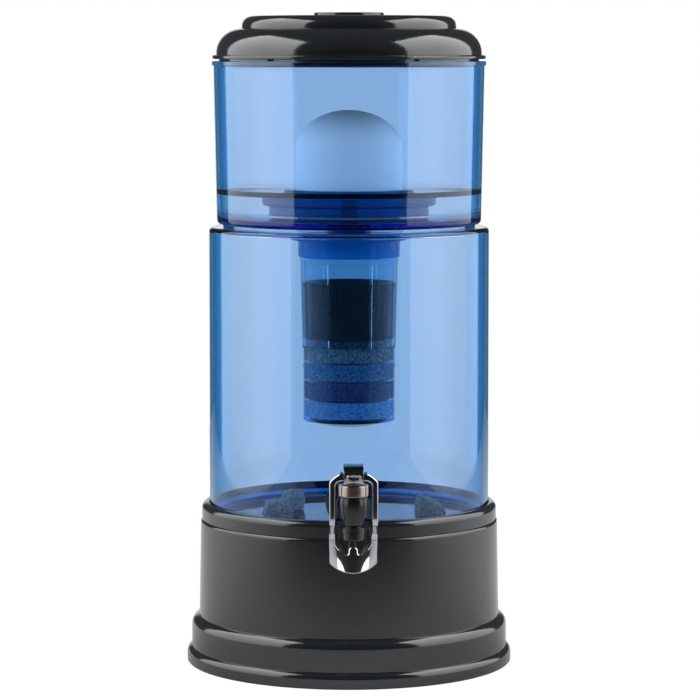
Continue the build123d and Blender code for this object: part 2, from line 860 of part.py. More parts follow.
# Push lever: a cranked frame whose lower plate hangs behind the water's stream
lever_face = tap_reach + lever_front
lever_arch = pin_z + lever_top
lever_foot = pin_z - lever_bottom
lever_foot_corner = lever_foot + lever_bottom_rise
window_top = pin_z - lever_window_top
window_bottom = pin_z - lever_window_bottom
window_corner = window_bottom + lever_window_rise
ear_inner = block_half_width + ear_gap
with BuildPart() as push_lever:
    with BuildSketch(Plane.XZ) as lever_outline:
        with BuildLine():
            arch_x = lever_arch_share * lever_half_width
            shoulder_z = pin_z - lever_shoulder
            ThreePointArc(
                (-lever_half_width, shoulder_z),
                (-arch_x, lever_arch - lever_arch_drop),
                (0, lever_arch),
            )
            ThreePointArc(
                (0, lever_arch),
                (arch_x, lever_arch - lever_arch_drop),
                (lever_half_width, shoulder_z),
            )
            Line((lever_half_width, shoulder_z), (lever_half_width, lever_foot_corner))
            ThreePointArc(
                (lever_half_width, lever_foot_corner),
                (0, lever_foot),
                (-lever_half_width, lever_foot_corner),
            )
            Line((-lever_half_width, lever_foot_corner), (-lever_half_width, shoulder_z))
        make_face()
        with BuildLine() as window:
            Polyline(
                (-lever_window_half_width, window_corner),
                (-lever_window_half_width, window_top),
                (lever_window_half_width, window_top),
                (lever_window_half_width, window_corner),
            )
            ThreePointArc(
                (lever_window_half_width, window_corner),
                (0, window_bottom),
                (-lever_window_half_width, window_corner),
            )
        make_face(mode=Mode.SUBTRACT)
        tongue_round = lever_tongue_width / 2
        tongue_top = window_bottom + lever_tongue_height - tongue_round
        with Locations((0, tongue_top)):
            Circle(tongue_round)
        with Locations((0, (tongue_top + window_bottom - lever_thickness) / 2)):
            Rectangle(lever_tongue_width, tongue_top - window_bottom + lever_thickness)
        with Locations((0, lever_arch)):
            Rectangle(2 * ear_inner, 2 * (lever_arch - window_top), mode=Mode.SUBTRACT)
        for half_width, low, high, rounding in (
            (lever_window_half_width, window_corner, pin_z, lever_window_round),
            (lever_window_half_width, window_bottom, window_corner, lever_corner_round),
            (lever_half_width, lever_foot, pin_z, lever_corner_round),
            (tongue_round, window_bottom, window_bottom + lever_thickness, lever_tongue_round),
        ):
            corners = [
                vertex
                for vertex in lever_outline.vertices()
                if abs(abs(vertex.X) - half_width) < touching
                and low - touching < vertex.Y < high + touching
            ]
            fillet(corners, rounding)
    extrude(amount=lever_face)
    with BuildSketch(Plane.YZ):
        bend_start = pin_z - lever_bend_top
        bend_end = bend_start - lever_bend_height
        lower_face = lever_face - lever_bend_depth
        run = lever_bend_round / 2
        with BuildLine():
            FilletPolyline(
                (-lever_face, lever_arch),
                (-lever_face, bend_start - run),
                (-lower_face, bend_end + run),
                (-lower_face, lever_foot),
                radius=lever_bend_round,
            )
            offset(amount=lever_thickness, side=Side.LEFT, kind=Kind.INTERSECTION)
        make_face()
    extrude(amount=lever_half_width, both=True, mode=Mode.INTERSECT)
    long_edges = [
        edge
        for edge in push_lever.edges()
        if abs((edge % 0.5).Y) < straight
        and abs(abs((edge @ 0.5).X) - ear_inner) > touching
        and (abs((edge % 0.5).X) < straight or (edge @ 0.5).Z > window_top - touching)
    ]
    fillet(long_edges, lever_edge_round)
    with BuildSketch(Plane.YZ.offset(ear_inner)):
        with Locations((-tap_reach, pin_z)):
            Circle(ear_radius)
        with Locations((-tap_reach - lever_front / 2 + lever_thickness / 4, pin_z)):
            Rectangle(lever_front - lever_thickness / 2, 2 * ear_radius)
    extrude(amount=ear_width)
    mirror(push_lever.part, about=Plane.YZ)
    with BuildSketch(Plane.YZ):
        with Locations((-tap_reach, pin_z)):
            Circle(pin_bore)
    extrude(amount=lever_half_width, both=True, mode=Mode.SUBTRACT)
finish(push_lever, "push_lever")

# Flow lock: a toggle block on the same pin, slotted for the stem, with a ribbed thumb tab
with BuildPart() as lock_block:
    with BuildSketch(Plane.YZ):
        with Locations((-tap_reach, pin_z)):
            Circle(block_round)
        with Locations((-tap_reach - block_front / 2, pin_z + (block_above - block_below) / 2)):
            Rectangle(block_front, block_above + block_below)
        with Locations((-tap_reach + (block_round - block_front) / 2, pin_z + block_above / 2)):
            Rectangle(block_front + block_round, block_above)
        with Locations((-tap_reach, pin_z + block_above + block_round)):
            Rectangle(4 * block_round, 2 * block_round, mode=Mode.SUBTRACT)
        with Locations((-tap_reach, pin_z)):
            Circle(pin_bore, mode=Mode.SUBTRACT)
    extrude(amount=block_half_width, both=True)
    with BuildSketch(Plane.YZ):
        with Locations((-tap_reach, pin_z)):
            Circle(stem_slot_radius)
        slot_front = stem_radius + block_slot_gap
        slot_back = 2 * block_round
        with Locations((-tap_reach + (slot_back - slot_front) / 2, pin_z - block_round)):
            Rectangle(slot_back + slot_front, 2 * block_round)
    extrude(amount=block_slot / 2, both=True, mode=Mode.SUBTRACT)
    with BuildSketch(Plane.XZ.offset(tap_reach + block_front)):
        with Locations((0, pin_z - (block_below - block_above) / 2)):
            Ellipse(oval_length / 2, oval_height / 2)
            Ellipse(oval_length / 2 - oval_line, oval_height / 2 - oval_line, mode=Mode.SUBTRACT)
    extrude(amount=oval_relief)
finish(lock_block, "lock_block")

with BuildPart() as lock_tab:
    tab_bottom = pin_z + block_above
    tab_middle = -tap_reach + (tab_back - tab_front) / 2
    with BuildSketch(Plane.XY.offset(tab_bottom)):
        with Locations((0, tab_middle)):
            RectangleRounded(2 * tab_half_width, tab_front + tab_back, tab_round)
    extrude(amount=tab_thickness)
    with BuildSketch(Plane.XY.offset(tab_bottom + tab_thickness)):
        with Locations((0, tab_middle)):
            with GridLocations(tab_rib_pitch, 1, tab_rib_count, 1):
                Rectangle(tab_rib_width, tab_front + tab_back - 2 * tab_round)
    extrude(amount=tab_rib_height)
finish(lock_tab, "lock_tab")
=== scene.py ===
import math
import random

import bmesh
import bpy
from mathutils import Matrix, Vector, noise


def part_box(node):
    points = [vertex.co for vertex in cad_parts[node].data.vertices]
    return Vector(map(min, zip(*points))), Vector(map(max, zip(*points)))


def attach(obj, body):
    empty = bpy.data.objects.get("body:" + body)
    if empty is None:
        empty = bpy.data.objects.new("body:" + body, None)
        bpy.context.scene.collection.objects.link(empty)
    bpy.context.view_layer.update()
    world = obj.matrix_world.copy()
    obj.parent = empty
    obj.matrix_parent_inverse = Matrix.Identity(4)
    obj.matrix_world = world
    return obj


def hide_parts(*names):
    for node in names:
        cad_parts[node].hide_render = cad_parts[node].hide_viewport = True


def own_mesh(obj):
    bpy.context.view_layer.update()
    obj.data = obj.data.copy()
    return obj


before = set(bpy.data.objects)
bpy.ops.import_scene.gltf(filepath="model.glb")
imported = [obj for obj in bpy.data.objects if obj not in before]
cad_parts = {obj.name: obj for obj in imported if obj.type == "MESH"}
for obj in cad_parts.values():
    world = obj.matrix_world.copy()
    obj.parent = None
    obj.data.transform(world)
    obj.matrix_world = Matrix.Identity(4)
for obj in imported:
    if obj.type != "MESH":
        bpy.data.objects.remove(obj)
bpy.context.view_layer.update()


def srgb(red, green, blue):
    # a colour from 0 to 255 as the eye reads it, made linear
    def linear(level):
        share = level / 255
        return share / 12.92 if share <= 0.04045 else ((share + 0.055) / 1.055) ** 2.4
    return (linear(red), linear(green), linear(blue), 1.0)


class Wire:
    # an output socket, so that sums on it add Math nodes
    def __init__(self, paint, socket):
        self.paint = paint
        self.socket = socket

    def work(self, operation, *values):
        return self.paint.add("Math", {"operation": operation}, dict(enumerate(values)))

    def __add__(self, other):
        return self.work("ADD", self, other)

    __radd__ = __add__

    def __sub__(self, other):
        return self.work("SUBTRACT", self, other)

    def __rsub__(self, other):
        return self.work("SUBTRACT", other, self)

    def __mul__(self, other):
        return self.work("MULTIPLY", self, other)

    __rmul__ = __mul__

    def above(self, limit):
        return self.work("GREATER_THAN", self, limit)

    def most(self, other):
        return self.work("MAXIMUM", self, other)

    def least(self, other):
        return self.work("MINIMUM", self, other)


class Paint:
    # one material: its Principled shader, and nodes in front of it
    def __init__(self, name, **constants):
        self.material = bpy.data.materials.new(name)
        self.material.use_nodes = True
        self.tree = self.material.node_tree
        self.shader = self.tree.nodes["Principled BSDF"]
        self.target = self.tree.nodes["Material Output"]
        for key, value in constants.items():
            self.shader.inputs[key.replace("_", " ")].default_value = value

    def add(self, kind, settings=None, sockets=None, out=0):
        node = self.tree.nodes.new("ShaderNode" + kind)
        for key, value in (settings or {}).items():
            if key == "stops":
                ramp = node.color_ramp
                while len(ramp.elements) < len(value):
                    ramp.elements.new(0.5)
                for element, (place, colour) in zip(ramp.elements, value):
                    element.position = place
                    element.color = colour
            else:
                setattr(node, key, value)
        for key, value in (sockets or {}).items():
            self.feed(node.inputs[key], value)
        return Wire(self, node.outputs[out])

    def feed(self, socket, value):
        if isinstance(value, Wire):
            self.tree.links.new(value.socket, socket)
        else:
            socket.default_value = value

    def drive(self, **links):
        for key, value in links.items():
            self.feed(self.shader.inputs[key.replace("_", " ")], value)
        return self

    def place(self):
        return self.add("TexCoord", out="Object")

    def along(self, axis):
        # how far a point lies along one axis of the object's frame
        return self.add("SeparateXYZ", {}, {0: self.place()}, axis)

    def mapped(self, scale):
        return self.add("Mapping", {}, {"Vector": self.place(), "Scale": scale})

    def grain(self, scale, detail=3.0, roughness=0.5, where=None, distortion=0.0):
        return self.add("TexNoise", {}, {
            "Vector": where or self.place(), "Scale": scale, "Detail": detail,
            "Roughness": roughness, "Distortion": distortion,
        })

    def cells(self, scale, out="Distance"):
        return self.add("TexVoronoi", {}, {"Vector": self.place(), "Scale": scale}, out)

    def ramp(self, factor, *stops):
        return self.add("ValToRGB", {"stops": stops}, {"Fac": factor})

    def between(self, factor, low, high):
        # inputs 6 and 7 and output 2 are the Mix node's colours
        return self.add("Mix", {"data_type": "RGBA"}, {0: factor, 6: low, 7: high}, out=2)

    def spread(self, factor, low, high, fromLow=0.0, fromHigh=1.0):
        return self.add("MapRange", {"clamp": True}, {
            "Value": factor, "From Min": fromLow, "From Max": fromHigh, "To Min": low, "To Max": high,
        })

    def relief(self, height, strength, distance, below=None):
        sockets = {"Height": height, "Strength": strength, "Distance": distance}
        if below is not None:
            sockets["Normal"] = below
        return self.add("Bump", {}, sockets)

    def giveWay(self, factor, other):
        # the paint's own shader gives way to another one as factor goes from 0 to 1
        own = Wire(self, self.shader.outputs[0])
        mixed = self.add("MixShader", {}, {0: factor, 1: own, 2: other})
        self.tree.links.new(mixed.socket, self.target.inputs["Surface"])
        return self

    def letLampsThrough(self, tint):
        # light from the lamps reaches what is behind the clear wall
        lamp = self.add("LightPath", out="Is Shadow Ray")
        return self.giveWay(lamp, self.add("BsdfTransparent", {}, {"Color": tint}))

    def soakUp(self, colour, density):
        depth = self.add("VolumeAbsorption", {}, {"Color": colour, "Density": density})
        self.tree.links.new(depth.socket, self.target.inputs["Volume"])
        return self


def pieceFrom(form, name, body, paint, smoothAngle=35.0, node=None):
    # closes a bmesh into a finished piece that rides on its body
    mesh = bpy.data.meshes.new(name)
    form.to_mesh(mesh)
    form.free()
    mesh.materials.append(paint.material)
    mesh.shade_smooth()
    mesh.set_sharp_from_angle(angle=math.radians(smoothAngle))
    piece = bpy.data.objects.new(name, mesh)
    bpy.context.scene.collection.objects.link(piece)
    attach(piece, body)
    if node:
        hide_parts(node)
    return piece


# how every turned wall is made, with its lengths in millimetres
turning = {"roundSteps": 6, "longSide": 2.4, "support": 0.35, "merge": 0.001}


def turnedForm(corners, steps, closed=False):
    # a profile of (radius, height, rounding) in millimetres, its corners rounded, spun about the upright axis
    form = bmesh.new()
    dots = [form.verts.new((radius / 1000, 0, height / 1000)) for radius, height, rounding in corners]
    for first, second in zip(dots, dots[1:]):
        form.edges.new((first, second))
    if closed:
        form.edges.new((dots[-1], dots[0]))
    count = len(dots)
    for number, (dot, (radius, height, rounding)) in enumerate(zip(dots, corners)):
        if not rounding:
            continue
        before = Vector(corners[number - 1][:2]) - Vector((radius, height))
        after = Vector(corners[(number + 1) % count][:2]) - Vector((radius, height))
        reach = rounding / math.tan(before.angle(after) / 2) / 1000
        bmesh.ops.bevel(form, geom=[dot], offset=reach, offset_type="OFFSET", affect="VERTICES",
                        segments=turning["roundSteps"], profile=0.5, material=-1)
    for edge in form.edges[:]:
        # a short piece at each end of a long side keeps the shading of that side flat
        if edge.calc_length() > turning["longSide"] / 1000:
            for end in edge.verts[:]:
                longest = max(end.link_edges, key=lambda link: link.calc_length())
                bmesh.utils.edge_split(longest, end, turning["support"] / 1000 / longest.calc_length())
    bmesh.ops.spin(form, geom=form.verts[:] + form.edges[:], cent=(0, 0, 0), axis=(0, 0, 1),
                   angle=2 * math.pi, steps=steps, use_merge=True, use_duplicate=False)
    bmesh.ops.remove_doubles(form, verts=form.verts[:], dist=turning["merge"] / 1000)
    bmesh.ops.recalc_face_normals(form, faces=form.faces[:])
    return form


def repaint(paint, *nodes):
    for node in nodes:
        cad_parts[node].material_slots[0].material = paint.material


def anthracitePlastic():
    look = {
        "dark": srgb(30, 34, 37), "light": srgb(37, 41, 44),
        "gloss": 0.09, "cloud": 0.14, "scuff": 0.0385,
    }
    paint = Paint("anthracitePlastic", IOR=1.5, Specular_IOR_Level=0.9)
    cloudy = paint.grain(9.0, 4.0)
    scuff = paint.spread(paint.grain(60.0, 8.0, 0.7, distortion=0.6), 0.0, 1.0, 0.58, 0.8)
    peel = paint.grain(420.0, 2.0)
    paint.drive(
        Base_Color=paint.between(cloudy, look["dark"], look["light"]),
        Roughness=paint.spread(cloudy, look["gloss"], look["cloud"]) + scuff * look["scuff"],
        Normal=paint.relief(peel, 0.06, 0.0004),
    )
    return paint


def tankPlastic():
    # painted shade: the wall's colour is light where it is looked at squarely, and a deep blue where it turns
    # away, standing in for the long path through the wall at its edges
    look = {"tint": (0.0, 0.583, 0.933, 1.0), "density": 60.0, "lampTint": (0.62, 0.78, 0.91, 1.0)}
    # the painted glow round the foot, with its heights and radius in metres
    paintedGlow = {"foot": 0.1246, "low": 0.1256, "high": 0.1272, "radius": 0.105, "colour": (0.0, 0.11, 0.46, 1.0)}
    paint = Paint("tankPlastic", IOR=1.45, Transmission_Weight=1.0, Emission_Strength=1.0)
    ripple = paint.grain(14.0, 2.0)
    haze = paint.grain(120.0, 6.0, 0.65)
    turnedAway = paint.add("LayerWeight", {}, {"Blend": 0.5}, "Facing")
    # painted light: a blue glow round the foot stands in for light led down inside the wall and coming out
    # there
    aside, depth, height = (paint.along(axis) for axis in "XYZ")
    atWall = (aside * aside + depth * depth).above(paintedGlow["radius"] ** 2)
    rising = paint.spread(height, 0.0, 1.0, paintedGlow["foot"], paintedGlow["low"])
    paintedFootGlow = atWall * rising * paint.spread(height, 1.0, 0.0, paintedGlow["low"], paintedGlow["high"])
    paint.drive(
        Emission_Color=paint.between(paintedFootGlow, (0, 0, 0, 1), paintedGlow["colour"]),
        Base_Color=paint.ramp(
            turnedAway,
            (0.05, (0.615, 0.739, 0.914, 1)), (0.22, (0.64, 0.7, 0.82, 1)), (0.36, (0.5, 0.595, 0.72, 1)),
            (0.52, (0.29, 0.5, 0.69, 1)), (0.61, (0.07, 0.45, 0.82, 1)), (0.72, (0.01, 0.17, 0.42, 1)),
            (1.0, (0.01, 0.09, 0.25, 1)),
        ),
        Roughness=paint.spread(haze, 0.0, 0.012, 0.45, 0.8),
        Normal=paint.relief(ripple, 0.12, 0.0006),
    )
    return paint.soakUp(look["tint"], look["density"]).letLampsThrough(look["lampTint"])


def filterPlastic(name, bend, through, clear):
    look = {"tint": (0.3, 0.92, 0.968, 1.0), "density": 190.0, "lampTint": (0.2, 0.5, 0.85, 1.0)}
    paint = Paint(name, Base_Color=through, IOR=bend, Transmission_Weight=clear)
    haze = paint.grain(200.0, 5.0, 0.6)
    paint.drive(
        Roughness=paint.spread(haze, 0.04, 0.12),
        Normal=paint.relief(paint.grain(90.0, 3.0), 0.1, 0.0003),
    )
    return paint.soakUp(look["tint"], look["density"]).letLampsThrough(look["lampTint"])


def jarPlastic():
    look = {"tint": (0.35, 0.72, 0.9, 1.0), "density": 50.0, "lampTint": (0.85, 0.92, 0.97, 1.0)}
    paint = Paint("jarPlastic", Base_Color=(0.4, 0.65, 0.8, 1), IOR=1.3, Transmission_Weight=1.0)
    haze = paint.grain(160.0, 5.0, 0.6)
    paint.drive(
        Roughness=paint.spread(haze, 0.0, 0.03),
        Normal=paint.relief(paint.grain(60.0, 2.0), 0.1, 0.0004),
    )
    return paint.soakUp(look["tint"], look["density"]).letLampsThrough(look["lampTint"])


def waterBody():
    paint = Paint("waterBody", Base_Color=(1, 1, 1, 1), IOR=1.333, Transmission_Weight=1.0, Roughness=0.0)
    paint.drive(Normal=paint.relief(paint.grain(30.0, 2.0), 0.04, 0.0005))
    return paint.letLampsThrough((0.98, 0.99, 1.0, 1.0))


def meniscusShadePaint():
    # a ring painted dark at the water's edge on the wall, a painted shade standing in for the meniscus; it is
    # dark from outside, and clear from the water's own side
    paint = Paint("meniscusShadeRing", IOR=1.333)
    ripple = paint.grain(60.0, 3.0)
    paint.drive(
        Base_Color=paint.between(ripple, srgb(0, 6, 18), srgb(3, 18, 40)),
        Roughness=paint.spread(ripple, 0.05, 0.15),
    )
    inner = paint.add("NewGeometry", out="Backfacing")
    return paint.giveWay(inner, paint.add("BsdfTransparent", {}, {"Color": (1, 1, 1, 1)}))


def porousCeramic():
    paint = Paint("porousCeramic", IOR=1.45, Specular_IOR_Level=0.3)
    pores = paint.cells(900.0)
    blotch = paint.grain(35.0, 5.0, 0.6)
    paint.drive(
        Base_Color=paint.between(blotch, srgb(226, 229, 230), srgb(243, 243, 240)),
        Roughness=paint.spread(pores, 0.85, 0.65),
        Normal=paint.relief(paint.grain(700.0, 6.0, 0.7) + pores * 0.5, 0.25, 0.0004),
    )
    return paint


def siliconeRubber():
    paint = Paint("siliconeRubber", IOR=1.42)
    speck = paint.grain(500.0, 4.0)
    paint.drive(
        Base_Color=paint.between(speck, srgb(150, 156, 162), srgb(176, 181, 186)),
        Roughness=paint.spread(speck, 0.42, 0.6),
        Normal=paint.relief(speck, 0.1, 0.0003),
    )
    return paint


def tapPlastic():
    paint = Paint("tapPlastic", IOR=1.5, Specular_IOR_Level=0.7)
    cloudy = paint.grain(80.0, 4.0)
    paint.drive(
        Base_Color=paint.between(cloudy, srgb(20, 22, 24), srgb(27, 29, 31)),
        Roughness=paint.spread(cloudy, 0.14, 0.24),
        Normal=paint.relief(paint.grain(1200.0, 3.0), 0.05, 0.0002),
    )
    return paint


def polishedChrome():
    paint = Paint("polishedChrome", Metallic=1.0)
    brush = paint.grain(240.0, 6.0, 0.7, where=paint.mapped((1, 1, 0.2)))
    smear = paint.grain(70.0, 4.0)
    # the lever's lower plate is bowed a little, so its sides catch the lamps
    bow = {"slope": 0.3, "half": 0.014, "top": 0.121}
    aside = paint.along("X")
    across = 1 - aside * aside * (1 / bow["half"] ** 2)
    bowed = (bow["top"] - paint.along("Z")).most(0.0) * across * bow["slope"]
    paint.drive(
        Base_Color=paint.between(smear, srgb(205, 205, 208), srgb(226, 226, 228)),
        Roughness=paint.spread(brush, 0.035, 0.1),
        Normal=paint.relief(bowed, 1.0, 1.0, paint.relief(smear, 0.03, 0.0003)),
    )
    return paint


def bronzeTrim():
    paint = Paint("bronzeTrim", Metallic=1.0)
    turnedLines = paint.grain(900.0, 4.0, 0.6, where=paint.mapped((0.04, 0.04, 1)))
    paint.drive(
        Base_Color=paint.between(turnedLines, srgb(170, 150, 136), srgb(200, 182, 168)),
        Roughness=paint.spread(turnedLines, 0.12, 0.26),
        Normal=paint.relief(turnedLines, 0.06, 0.0002),
    )
    return paint


def stainlessSteel():
    paint = Paint("stainlessSteel", Metallic=1.0)
    lines = paint.grain(1100.0, 5.0, 0.6, where=paint.mapped((0.1, 1, 1)))
    paint.drive(
        Base_Color=paint.between(lines, srgb(176, 178, 180), srgb(206, 207, 209)),
        Roughness=paint.spread(lines, 0.16, 0.34),
        Normal=paint.relief(lines, 0.08, 0.0002),
    )
    return paint


def riverStone():
    paint = Paint("riverStone", IOR=1.5)
    mottle = paint.grain(90.0, 9.0, 0.7)
    fleck = paint.cells(420.0)
    # the pits are sunk by the bump and painted darker too, a painted shade in them
    pits = paint.spread(paint.cells(260.0), 0.0, 1.0, 0.1, 0.3)
    paint.drive(
        Base_Color=paint.ramp(
            (mottle * 0.7 + fleck * 0.3) * (0.6 + pits * 0.4),
            (0.22, srgb(34, 42, 44)), (0.38, srgb(88, 98, 100)),
            (0.55, srgb(116, 126, 128)), (0.75, srgb(160, 170, 168)),
        ),
        Roughness=paint.spread(mottle, 0.55, 0.9),
        Normal=paint.relief(paint.grain(260.0, 8.0, 0.7) + pits * 0.6, 0.8, 0.0018),
    )
    return paint


def carbonGrains():
    paint = Paint("carbonGrains", IOR=1.6)
    lumps = paint.cells(620.0)
    tone = paint.cells(620.0, out="Color")
    paint.drive(
        Base_Color=paint.between(tone, srgb(4, 5, 7), srgb(22, 24, 27)),
        Roughness=paint.spread(paint.grain(800.0, 3.0), 0.6, 0.9),
        Normal=paint.relief(1 - lumps, 0.45, 0.0007),
    )
    return paint


def darkFelt():
    paint = Paint("darkFelt", Sheen_Weight=0.4, Sheen_Roughness=0.6)
    fibres = paint.grain(1300.0, 8.0, 0.75, distortion=1.5)
    paint.drive(
        Base_Color=paint.between(fibres, srgb(38, 46, 58), srgb(66, 76, 90)),
        Roughness=paint.spread(fibres, 0.8, 1.0),
        Normal=paint.relief(fibres, 0.5, 0.0006),
    )
    return paint


def grainPaint(name, dark, light, gloss):
    paint = Paint(name, IOR=1.5)
    speck = paint.grain(700.0, 4.0)
    shade = paint.cells(900.0, out="Color")
    paint.drive(
        Base_Color=paint.between(shade, dark, light),
        Roughness=paint.spread(speck, gloss, gloss + 0.2),
        Normal=paint.relief(speck, 0.15, 0.0003),
    )
    return paint


anthracite = anthracitePlastic()
tankBlue = tankPlastic()
filterBlue = filterPlastic("filterPlastic", 1.25, (0.0, 0.26, 0.58, 1), 0.6)
wetBlue = filterPlastic("wetFilterPlastic", 1.12, (0.0, 0.22, 0.42, 1), 0.85)
jarClear = jarPlastic()
water = waterBody()
ceramic = porousCeramic()
silicone = siliconeRubber()
tapBlack = tapPlastic()
chrome = polishedChrome()
bronze = bronzeTrim()
steel = stainlessSteel()
stone = riverStone()
carbon = carbonGrains()
felt = darkFelt()
greyGrain = grainPaint("greyGrain", srgb(30, 32, 34), srgb(176, 170, 164), 0.5)
darkBlueBead = grainPaint("darkBlueBead", srgb(20, 40, 60), srgb(110, 160, 190), 0.3)
purpleBead = grainPaint("purpleBead", srgb(26, 24, 50), srgb(104, 92, 140), 0.3)
lightBlueBead = grainPaint("lightBlueBead", srgb(60, 104, 150), srgb(160, 200, 230), 0.3)
paintedMeniscusShade = meniscusShadePaint()
print("finishes are ready")

# nodes that keep their own shape get their finish here
repaint(anthracite, "stand_top", "lid")
repaint(filterBlue, "dome_nut", "cartridge_cap")
repaint(wetBlue, "dome_base")
repaint(jarClear, "carbon_jar", "mineral_cup")
repaint(ceramic, "ceramic_dome")
repaint(silicone, "tap_outer_gasket", "tap_inner_gasket", "valve_cup")
repaint(silicone, "floor_gasket", "nut_washer", "cap_seal")
repaint(tapBlack, "tap_body", "tap_lock_nut", "bonnet_cap")
repaint(chrome, "push_lever")
repaint(bronze, "bonnet_ring")
repaint(steel, "valve_stem", "lever_pin")
repaint(carbon, "carbon_bed")
repaint(felt, "felt_separators")

# the stand's drum, with the radii and heights of its steps in millimetres
drumSizes = {
    "steps": 240, "bottom": 0.0, "wall": 3.0, "foot": 134.95, "footTop": 13.5, "footRound": 6.0,
    "plinth": 131.1, "plinthTop": 39.4, "plinthRound": 8.5, "wallFoot": 124.9, "wallTop": 123.2,
    "parting": 119.5, "partingRound": 2.4, "chamfer": 1.0,
}


def roundTo(outside, top, rounding, inside, steps=12):
    # dots along a rounded step, from its upright side to where it meets the narrower wall
    end = math.acos((inside - outside + rounding) / rounding)
    return [
        (outside - rounding + rounding * math.cos(end * part / steps),
         top - rounding + rounding * math.sin(end * part / steps), 0)
        for part in range(steps + 1)
    ]


def drumProfile():
    size = drumSizes
    thin = size["wall"]
    return (
        [
            (size["foot"] - size["chamfer"], size["bottom"], 0),
            (size["foot"], size["bottom"] + size["chamfer"], 0),
        ]
        + roundTo(size["foot"], size["footTop"], size["footRound"], size["plinth"])
        + roundTo(size["plinth"], size["plinthTop"], size["plinthRound"], size["wallFoot"])
        + [
            (size["wallTop"], size["parting"], size["partingRound"]),
            (size["wallTop"] - thin, size["parting"], 0),
            (size["wallFoot"] - thin, size["plinthTop"] - thin, 0),
            (size["plinth"] - thin, size["plinthTop"] - thin, size["plinthRound"] - thin),
            (size["plinth"] - thin, size["footTop"] - thin, 0),
            (size["foot"] - thin, size["footTop"] - thin, size["footRound"] - thin),
            (size["foot"] - thin, size["bottom"], 0),
        ]
    )


drumForm = turnedForm(drumProfile(), drumSizes["steps"], closed=True)
pieceFrom(drumForm, "standDrum", "stand", anthracite, node="base_stand")
print("stand's drum is turned")

# the lower tank's bore narrows a little towards its foot, and a ledge runs inwards round its mouth
lowerSizes = {
    "steps": 240, "under": 119.6, "floor": 123.8, "outside": 115.8, "insideFoot": 112.6, "insideTop": 112.9,
    "footRound": 7.0, "floorRound": 6.0, "top": 361.7, "topRound": 3.5,
    "mouth": 100.0, "ledgeUnder": 358.2, "ledgeRound": 1.0,
}


def lowerProfile():
    size = lowerSizes
    return [
        (0, size["under"], 0),
        (size["outside"], size["under"], size["footRound"]),
        (size["outside"], size["top"], size["topRound"]),
        (size["mouth"], size["top"], size["ledgeRound"]),
        (size["mouth"], size["ledgeUnder"], size["ledgeRound"]),
        (size["insideTop"], size["ledgeUnder"], size["ledgeRound"]),
        (size["insideFoot"], size["floor"], size["floorRound"]),
        (0, size["floor"], 0),
    ]


lowerForm = turnedForm(lowerProfile(), lowerSizes["steps"])
pieceFrom(lowerForm, "lowerTank", "lower_tank_assembly", tankBlue, node="lower_tank")

# the upper tank has two rings under its floor, and a flange round its top
upperSizes = {
    "steps": 240, "under": 364.0, "floor": 368.6, "outsideFoot": 109.2, "outsideTop": 111.7,
    "insideFoot": 106.2, "insideTop": 108.7, "footRound": 3.5, "floorRound": 6.0,
    "rings": [
        {"inside": 96.5, "outside": 99.2, "low": 359.2},
        {"inside": 101.5, "outside": 104.3, "low": 362.0},
    ],
    "flange": 113.0, "flangeUnder": 493.9, "flangeRound": 0.6, "top": 497.6, "topRound": 0.8,
}


def upperProfile():
    size = upperSizes
    dots = [(0, size["under"], 0)]
    for ring in size["rings"]:
        dots += [
            (ring["inside"], size["under"], 0), (ring["inside"], ring["low"], 0),
            (ring["outside"], ring["low"], 0), (ring["outside"], size["under"], 0),
        ]
    return dots + [
        (size["outsideFoot"], size["under"], size["footRound"]),
        (size["outsideTop"], size["flangeUnder"], 0),
        (size["flange"], size["flangeUnder"], size["flangeRound"]),
        (size["flange"], size["top"], size["topRound"]),
        (size["insideTop"], size["top"], size["topRound"]),
        (size["insideFoot"], size["floor"], size["floorRound"]),
        (0, size["floor"], 0),
    ]


upperForm = turnedForm(upperProfile(), upperSizes["steps"])
pieceFrom(upperForm, "upperTank", "upper_tank_assembly", tankBlue, node="upper_tank")
print("tanks are turned")

# the raw water climbs the wall a little, by (distance from the edge, rise), and reaches just into the wall
waterSizes = {
    "steps": 240, "floor": 368.5, "foot": 106.25, "footRound": 6.0, "level": 389.4, "edge": 106.9,
    "climb": [(0.0, 3.8), (0.2, 2.9), (0.6, 2.1), (1.3, 1.4), (2.6, 0.75), (4.6, 0.3), (8.0, 0.0)],
}


def waterProfile():
    size = waterSizes
    return (
        [(0, size["floor"], 0), (size["foot"], size["floor"], size["footRound"])]
        + [(size["edge"] - away, size["level"] + rise, 0) for away, rise in size["climb"]]
        + [(0, size["level"], 0)]
    )


waterForm = turnedForm(waterProfile(), waterSizes["steps"])
pieceFrom(waterForm, "rawWater", "upper_tank_assembly", water, smoothAngle=60.0)
# a thin ring at the water's edge carries the painted meniscus shade
edgeSizes = {"radius": 106.8, "low": 389.2, "high": 393.4}
edgeCorners = [(edgeSizes["radius"], edgeSizes[end], 0) for end in ("low", "high")]
edgeForm = turnedForm(edgeCorners, waterSizes["steps"])
pieceFrom(edgeForm, "meniscusShadeRing", "upper_tank_assembly", paintedMeniscusShade)
print("water is poured")

# three worn stones on the lower tank's floor, and how they are worn
stoneSizes = [
    {"spot": (-58.5, -48.0), "half": (13.2, 10.4), "tall": 16.6, "turn": 12.0, "slope": 0.0, "seed": 3.1},
    {"spot": (-47.0, 10.0), "half": (10.0, 8.6), "tall": 16.2, "turn": -25.0, "slope": -0.12, "seed": 8.4},
    {"spot": (65.5, -44.0), "half": (13.6, 11.2), "tall": 19.2, "turn": 8.0, "slope": 0.34, "seed": 5.7},
]
stoneWear = {
    "cuts": 26, "ball": 1.12, "worn": 0.4, "bulge": 1.12, "half": 0.9, "taper": 0.1, "slopeFrom": 0.4,
    "seedAside": 1.7,
    "waves": [
        {"height": 0.1, "scale": 1.1, "fractal": (0.9, 2.1, 4)},
        {"height": 0.06, "scale": 6.0, "fractal": (0.8, 2.2, 4)},
    ],
}


